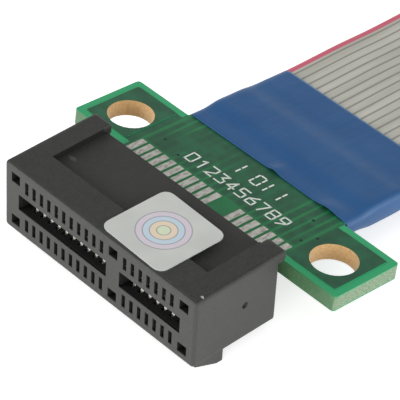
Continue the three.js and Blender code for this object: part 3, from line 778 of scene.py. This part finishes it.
@dataclass(frozen=True)
class LabelFilm:
    """Silver-grey film label with a generic target of pastel rings."""

    silver: Colour = linear(206, 208, 204)
    dull: Colour = linear(196, 198, 194)
    centre: Point = (3.78 * MM, 0.945 * MM, 8.62 * MM)
    ring_colours: tuple[Colour, ...] = (
        linear(214, 226, 196), linear(232, 214, 190), linear(196, 214, 226), linear(214, 204, 214))
    ring_step: float = 0.62 * MM
    line: float = 0.05 * MM
    line_colour: Colour = linear(132, 136, 142)

    def material(self) -> bpy.types.Material:
        """Makes the finish: brushed silver-grey with pastel rings."""
        shader = Shader("label_film")
        brushed = shader.noise(0.8 * MM, 4.0, (0.25, 5.0, 1.0))
        cloud = shader.noise(4.0 * MM, 2.0)
        base = shader.mix(cloud.ramp(0.3, 0.7), self.silver, self.dull)
        x = shader.along((1, 0, 0), self.centre)
        y = shader.along((0, 1, 0), self.centre)
        distance = (x * x + y * y).power(0.5)
        for i, colour in reversed(list(enumerate(self.ring_colours))):
            edge = (i + 1) * self.ring_step
            base = shader.mix(1 - distance.ramp(edge - 0.02 * MM, edge + 0.02 * MM), base, colour)
            base = shader.mix(distance.near(edge, self.line, 0.02 * MM) * 0.7, base, self.line_colour)
        rough = 0.36 + 0.1 * brushed
        return shader.finish(
            base_color=base, metallic=0.1, roughness=rough, normal=shader.bump(brushed, 0.006 * MM))


@dataclass(frozen=True)
class WhiteInk:
    """Screen-printed white ink on the solder mask."""

    colour: Colour = linear(226, 230, 224)
    worn: Colour = linear(196, 206, 196)

    def material(self) -> bpy.types.Material:
        """Makes the finish: chalky white with worn spots."""
        shader = Shader("white_ink")
        wear = shader.noise(0.22 * MM, 3.0)
        return shader.finish(
            base_color=shader.mix(wear.ramp(0.5, 0.75), self.colour, self.worn),
            roughness=0.55 + 0.2 * wear)


@dataclass
class RibbonShape:
    """Both ribbed ribbons, swept along the route of the pair's middle line."""

    wires: int = 20
    pitch: float = 1.0 * MM
    thickness: float = 0.9 * MM
    web: float = 0.5 * MM
    spacing: float = 0.1 * MM
    shift: float = -0.3 * MM
    steps: int = 110
    arc_points: int = 6
    diameter: float = 20.0 * MM
    route: tuple[tuple[float, float], ...] = (
        (23.505 * MM, 3.310 * MM), (29.930 * MM, 2.736 * MM), (36.930 * MM, 2.480 * MM),
        (42.930 * MM, 2.130 * MM), (69.130 * MM, 1.960 * MM), (92.930 * MM, 1.260 * MM),
        (113.930 * MM, 1.010 * MM), (144.730 * MM, 1.010 * MM), (160.930 * MM, 1.110 * MM),
        (169.930 * MM, 1.410 * MM), (176.380 * MM, 1.410 * MM),
    )

    @property
    def left(self) -> float:
        """The X of the left edge, where the red wire is."""
        return self.shift - self.wires * self.pitch / 2

    def centreline(self) -> list[Vector]:
        """The route as a smooth centripetal curve, at even steps."""
        points = [Vector((0.0, y, z)) for y, z in self.route]
        fine: list[Vector] = []
        padded = [2 * points[0] - points[1], *points, 2 * points[-1] - points[-2]]
        for i in range(1, len(padded) - 2):
            fine += [self._blend(padded[i - 1:i + 3], step / 40) for step in range(40)]
        fine.append(points[-1])
        return resample(fine, self.steps)

    def _blend(self, points: Sequence[Vector], share: float) -> Vector:
        """A point of the centripetal curve between the second and third of four points."""
        knots = [0.0]
        for before, after in zip(points, points[1:]):
            knots.append(knots[-1] + (after - before).length ** 0.5)
        t = knots[1] + share * (knots[2] - knots[1])
        first = [self._between(points[i], points[i + 1], knots[i], knots[i + 1], t) for i in range(3)]
        second = [self._between(first[i], first[i + 1], knots[i], knots[i + 2], t) for i in range(2)]
        return self._between(second[0], second[1], knots[1], knots[2], t)

    @staticmethod
    def _between(low: Vector, high: Vector, low_knot: float, high_knot: float, t: float) -> Vector:
        """The straight blend of two points between their knots."""
        return (low * (high_knot - t) + high * (t - low_knot)) / (high_knot - low_knot)

    def section(self) -> list[tuple[float, float]]:
        """The ribbed outline, X and height, from the left edge over the top and back below."""
        radius = self.thickness / 2
        upper = []
        for wire in range(self.wires):
            middle = self.left + (wire + 0.5) * self.pitch
            for i in range(self.arc_points):
                angle = math.pi * (1 - (i + 0.5) / self.arc_points)
                reach = 0.5 * self.pitch * math.cos(angle)
                height = self.web / 2 + (radius - self.web / 2) * math.sin(angle) ** 0.7
                upper.append((middle + reach, height))
        lower = [(x, -height) for x, height in reversed(upper)]
        left_cap = [(self.left + 0.02 * MM, 0.0)]
        return [*left_cap, *upper, (self.left + self.wires * self.pitch - 0.02 * MM, 0.0), *lower]

    def build(self) -> None:
        """Makes the upper and the lower ribbon."""
        line = self.centreline()
        material = RibbonInsulation().material(self)
        gap = (self.thickness + self.spacing) / 2
        for name, off in (("ribbon_upper", gap), ("ribbon_lower", -gap)):
            path = self.offset(line, off)
            shape = bmesh.new()
            loft(shape, [self.ring(path, i) for i in range(len(path))])
            piece = add_piece(f"{name}_ribbed", mesh_of(name, shape), material)
            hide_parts(name)
            length = sum((after - before).length for before, after in zip(path, path[1:]))
            riders = ["plug_board", "plug_sleeve_film"] if off > 0 else ["plug_board"]

    def ring(self, path: Sequence[Vector], i: int) -> list[Vector]:
        """The section set square to the path at one of its points."""
        normal = self.normal(path, i)
        return [path[i] + Vector((x, 0, 0)) + normal * height for x, height in self.section()]

    @staticmethod
    def normal(path: Sequence[Vector], i: int) -> Vector:
        """The upward normal of a path without sideways turns."""
        tangent = (path[min(i + 1, len(path) - 1)] - path[max(i - 1, 0)]).normalized()
        return Vector((0, -tangent.z, tangent.y))

    def offset(self, line: Sequence[Vector], off: float) -> list[Vector]:
        """The line moved along its normals."""
        return [line[i] + self.normal(line, i) * off for i in range(len(line))]


def resample(points: Sequence[Vector], steps: int) -> list[Vector]:
    """Places points at even steps along a polyline."""
    lengths = [0.0]
    for before, after in zip(points, points[1:]):
        lengths.append(lengths[-1] + (after - before).length)
    result, i = [], 0
    for step in range(steps + 1):
        target = lengths[-1] * step / steps
        while i < len(points) - 2 and lengths[i + 1] < target:
            i += 1
        share = (target - lengths[i]) / (lengths[i + 1] - lengths[i])
        result.append(points[i].lerp(points[i + 1], min(max(share, 0.0), 1.0)))
    return result


@dataclass
class SleeveShape:
    """A thin flattened tube that hugs the board, swells over the joint and hugs the ribbons."""

    side: Side
    plane: BoardPlane
    start: float
    length: float = 12.7 * MM
    half_width: float = 10.55 * MM
    wall: float = 0.1 * MM
    board_half: float = 0.84 * MM
    joint_half: float = 1.14 * MM
    ribbon_half: float = 0.99 * MM
    lifts: tuple[tuple[float, float], ...] = ((0.9, 0.55), (7.9, 1.1))
    lift_height: float = 0.24 * MM
    wrinkle: float = 0.025 * MM
    columns: int = 120
    rows: int = 44
    seed: int = 3
    swell_rise: tuple[float, float] = (0.12, 0.3)
    swell_fall: tuple[float, float] = (0.52, 0.78)
    rear_rise: tuple[float, float] = (0.5, 0.8)
    corner: float = 0.85 * MM
    limit: float = 1.41 * MM

    def half_height(self, share: float) -> float:
        """The inner half height at a share of the length, from the board's end to the ribbon's end."""
        swell = smooth(*self.swell_rise, share) * (1 - 0.72 * smooth(*self.swell_fall, share))
        rear = smooth(*self.rear_rise, share)
        floor = self.board_half + (self.ribbon_half - self.board_half) * rear
        return floor + (self.joint_half - floor) * swell * (1 - rear)

    def point(self, turn: float, share: float) -> Vector:
        """A point of the film's outer face.

        Args:
            turn: the way round the section, from 0 to 1.
            share: the way along, from 0 at the film's start to 1 at its end.

        Returns:
            The point, across, along and off the plane.
        """
        from_board = share if self.side is Side.SOCKET else 1 - share
        half_height = self.half_height(from_board) + self.wall
        radius = min(half_height, self.corner)
        x, z = self.outline(turn, self.half_width, half_height, radius)
        y = self.start + share * self.length
        top = smooth(-0.2 * half_height, half_height, z)
        wave = noise.noise(Vector((x / (4.5 * MM), y / (3.0 * MM), self.seed + z / (3 * MM))))
        fine = noise.noise(Vector((x / (1.5 * MM), y / (5.0 * MM), self.seed + 7.0)))
        z += math.copysign(self.wrinkle * (wave * 0.8 + fine * 0.3), z) * smooth(0, 0.1, share)
        if self.side is Side.SOCKET:
            for place, reach in self.lifts:
                near = math.exp(-((x / MM - place) / reach) ** 2)
                z += top * near * self.lift_height * (1 - smooth(0.0, 0.16, share))
            y += 0.05 * MM * noise.noise(Vector((x / (6 * MM), 0.4, self.seed))) * (1 - smooth(0, 0.1, share))
        z = max(min(z, self.limit), -self.limit)
        return Vector((x, y, z))

    @staticmethod
    def outline(turn: float, half_width: float, half_height: float, radius: float) -> tuple[float, float]:
        """A point of a rounded rectangle, at a share of its way round from the right middle."""
        straight_x = 2 * (half_width - radius)
        straight_z = 2 * (half_height - radius)
        arc = math.pi * radius / 2
        total = 2 * (straight_x + straight_z) + 4 * arc
        rest = (turn % 1.0) * total
        corners = (
            ("line", half_width, -straight_z / 2, 0.0, 1.0, straight_z),
            ("arc", half_width - radius, half_height - radius, 0.0, 0.0, arc),
            ("line", half_width - radius, half_height, -1.0, 0.0, straight_x),
            ("arc", -half_width + radius, half_height - radius, math.pi / 2, 0.0, arc),
            ("line", -half_width, straight_z / 2, 0.0, -1.0, straight_z),
            ("arc", -half_width + radius, -half_height + radius, math.pi, 0.0, arc),
            ("line", -half_width + radius, -half_height, 1.0, 0.0, straight_x),
            ("arc", half_width - radius, -half_height + radius, 1.5 * math.pi, 0.0, arc),
        )
        for kind, x, z, first, second, size in corners:
            if rest <= size:
                if kind == "line":
                    return x + first * rest, z + second * rest
                angle = first + rest / radius
                return x + radius * math.cos(angle), z + radius * math.sin(angle)
            rest -= size
        return half_width, 0.0

    def build(self) -> bpy.types.Object:
        """Makes the film as a shell with open ends."""
        shape = bmesh.new()
        outer = [[self.point(i / self.columns, j / self.rows) for i in range(self.columns)]
                 for j in range(self.rows + 1)]
        inner = [[self.inward(ring, i) for i in range(self.columns)] for ring in outer]
        rows = [[shape.verts.new(point) for point in ring] for ring in [*outer, *reversed(inner)]]
        join_rings(shape, [*rows, rows[0]])
        name = f"{self.side.value}_sleeve_film"
        ribbon_end, way = (self.start + self.length, 1.0) if self.side is Side.SOCKET else (self.start, -1.0)
        material = SleeveFilm().material(self.plane, ribbon_end, way)
        mesh = mesh_of(name, shape, self.plane.matrix)
        piece = add_piece(name, mesh, material)
        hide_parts(f"{self.side.value}_sleeve")
        return piece

    def inward(self, ring: Sequence[Vector], i: int) -> Vector:
        """A ring's point moved into the film by its wall."""
        before, after = ring[i - 1], ring[(i + 1) % len(ring)]
        tangent = (after - before).normalized()
        return ring[i] + Vector((-tangent.z, 0, tangent.x)) * self.wall


@dataclass
class PrintedMarks:
    """Generic white print on the socket board: a row of numerals and a row of dashed marks."""

    top: float = 0.8 * MM
    film: float = 0.02 * MM
    line: float = 0.16 * MM
    numeral_height: float = 1.3 * MM
    numeral_width: float = 0.85 * MM
    numeral_step: float = 1.32 * MM
    numeral_place: tuple[float, float] = (-5.5 * MM, 6.1 * MM)
    dash_place: tuple[float, float] = (-1.2 * MM, 8.6 * MM)
    dash_step: float = 1.75 * MM
    dash_rise: float = 0.85 * MM
    dash_length: float = 0.5 * MM
    square_width: float = 0.9 * MM
    numerals: str = "0123456789"

    STROKES = {
        "0": ((0, 0), (1, 0), (1, 2), (0, 2), (0, 0)),
        "1": ((0.2, 1.6), (0.6, 2), (0.6, 0)),
        "2": ((0, 2), (1, 2), (1, 1.1), (0, 0), (1, 0)),
        "3": ((0, 2), (1, 2), (0.4, 1.1), (1, 0.8), (1, 0), (0, 0)),
        "4": ((0.7, 0), (0.7, 2), (0, 0.6), (1, 0.6)),
        "5": ((1, 2), (0, 2), (0, 1.1), (1, 1.1), (1, 0), (0, 0)),
        "6": ((0.9, 2), (0, 1), (0, 0), (1, 0), (1, 1), (0, 1)),
        "7": ((0, 2), (1, 2), (0.4, 0)),
        "8": ((0, 1), (0, 2), (1, 2), (1, 0), (0, 0), (0, 1), (1, 1)),
        "9": ((0.1, 0), (1, 1), (1, 2), (0, 2), (0, 1), (1, 1)),
    }

    def build(self) -> None:
        """Makes all marks as one thin raised piece."""
        shape = bmesh.new()
        x0, y0 = self.numeral_place
        for i, numeral in enumerate(self.numerals):
            corner = (x0 + i * self.numeral_step, y0)
            points = [
                (corner[0] + x * self.numeral_width, corner[1] + y * self.numeral_height / 2)
                for x, y in self.STROKES[numeral]
            ]
            for start, end in zip(points, points[1:]):
                self.stroke(shape, start, end)
        self.dashes(shape)
        mesh = mesh_of("printed_marks", shape, SOCKET_PLANE.matrix, flat=True)
        add_piece("printed_marks", mesh, WhiteInk().material())

    def dashes(self, shape: bmesh.types.BMesh) -> None:
        """Draws the dashed row: four bars of two dashes, with a square among them."""
        x0, y0 = self.dash_place
        for i, broad in enumerate((False, True, False, False)):
            x = x0 + i * self.dash_step
            uprights = (x, x + self.square_width) if broad else (x,)
            for low in (0.0, self.dash_rise):
                for upright in uprights:
                    self.stroke(shape, (upright, y0 + low), (upright, y0 + low + self.dash_length))
            if broad:
                for level in (y0 - 0.1 * MM, y0 + 1.45 * MM):
                    self.stroke(shape, (x + 0.2 * MM, level), (x + 0.7 * MM, level))

    def stroke(self, shape: bmesh.types.BMesh, start: tuple[float, float], end: tuple[float, float]) -> None:
        """Draws one straight bar with square ends that reach past its points."""
        a, b = Vector((*start, 0)), Vector((*end, 0))
        way = (b - a).normalized()
        side = Vector((-way.y, way.x, 0)) * self.line / 2
        a, b = a - way * self.line / 2, b + way * self.line / 2
        low = Vector((0, 0, self.top - 0.01 * MM))
        high = Vector((0, 0, self.top + self.film))
        loft(shape, [[p + level for p in (a - side, b - side, b + side, a + side)] for level in (low, high)])


@dataclass
class RiserCable:
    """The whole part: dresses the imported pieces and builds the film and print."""

    board: BoardLayout = field(default_factory=BoardLayout)
    socket_sleeve_start: float = 11.3 * MM
    plug_sleeve_start: float = -6.75 * MM

    def dress(self, material: bpy.types.Material, names: Iterable[str]) -> None:
        """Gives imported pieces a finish."""
        for name in names:
            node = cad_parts[name]
            node.data.materials.clear()
            node.data.materials.append(material)
            log.info("dressed %s", name)

    def build(self) -> None:
        """Makes the finishes of the imported pieces, the print and the sleeve films."""
        self.dress(MouldedPlastic().material(), ["socket_housing"])
        contacts = sorted(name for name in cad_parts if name.startswith("contact_"))
        self.dress(SpringMetal().material(), contacts)
        self.dress(BoardFinish(self.board, SOCKET_PLANE).material(), ["socket_board"])
        self.dress(self.plug_finish(), ["plug_board"])
        self.dress(LabelFilm().material(), ["label"])
        PrintedMarks().build()
        SleeveShape(Side.SOCKET, SOCKET_PLANE, self.socket_sleeve_start).build()
        SleeveShape(Side.PLUG, PLUG_PLANE, self.plug_sleeve_start, seed=11).build()

    def plug_finish(self) -> bpy.types.Material:
        """The plug board's finish, with gold fingers in place of the tinned pads."""
        layout = BoardLayout(
            half_span=12.0 * MM, start=6.2 * MM, end=12.2 * MM, border=0.4 * MM, pads=(14.1 * MM, 18.3 * MM),
            holes=(), vias=((7.0 * MM, 9.0 * MM), (-4.2 * MM, 8.2 * MM), (1.6 * MM, 9.6 * MM)))
        return BoardFinish(layout, PLUG_PLANE, gold=True).material()


def main() -> None:
    """Builds the scene in order: camera and surround, the finishes, print and sleeves, then the ribbons."""
    logging.basicConfig(level=logging.INFO, format="%(message)s")
    bpy.context.scene.view_settings.view_transform = "Standard"
    Studio().build()
    cable = RiserCable()
    cable.build()
    RibbonShape().build()


if __name__ == "__main__":
    main()
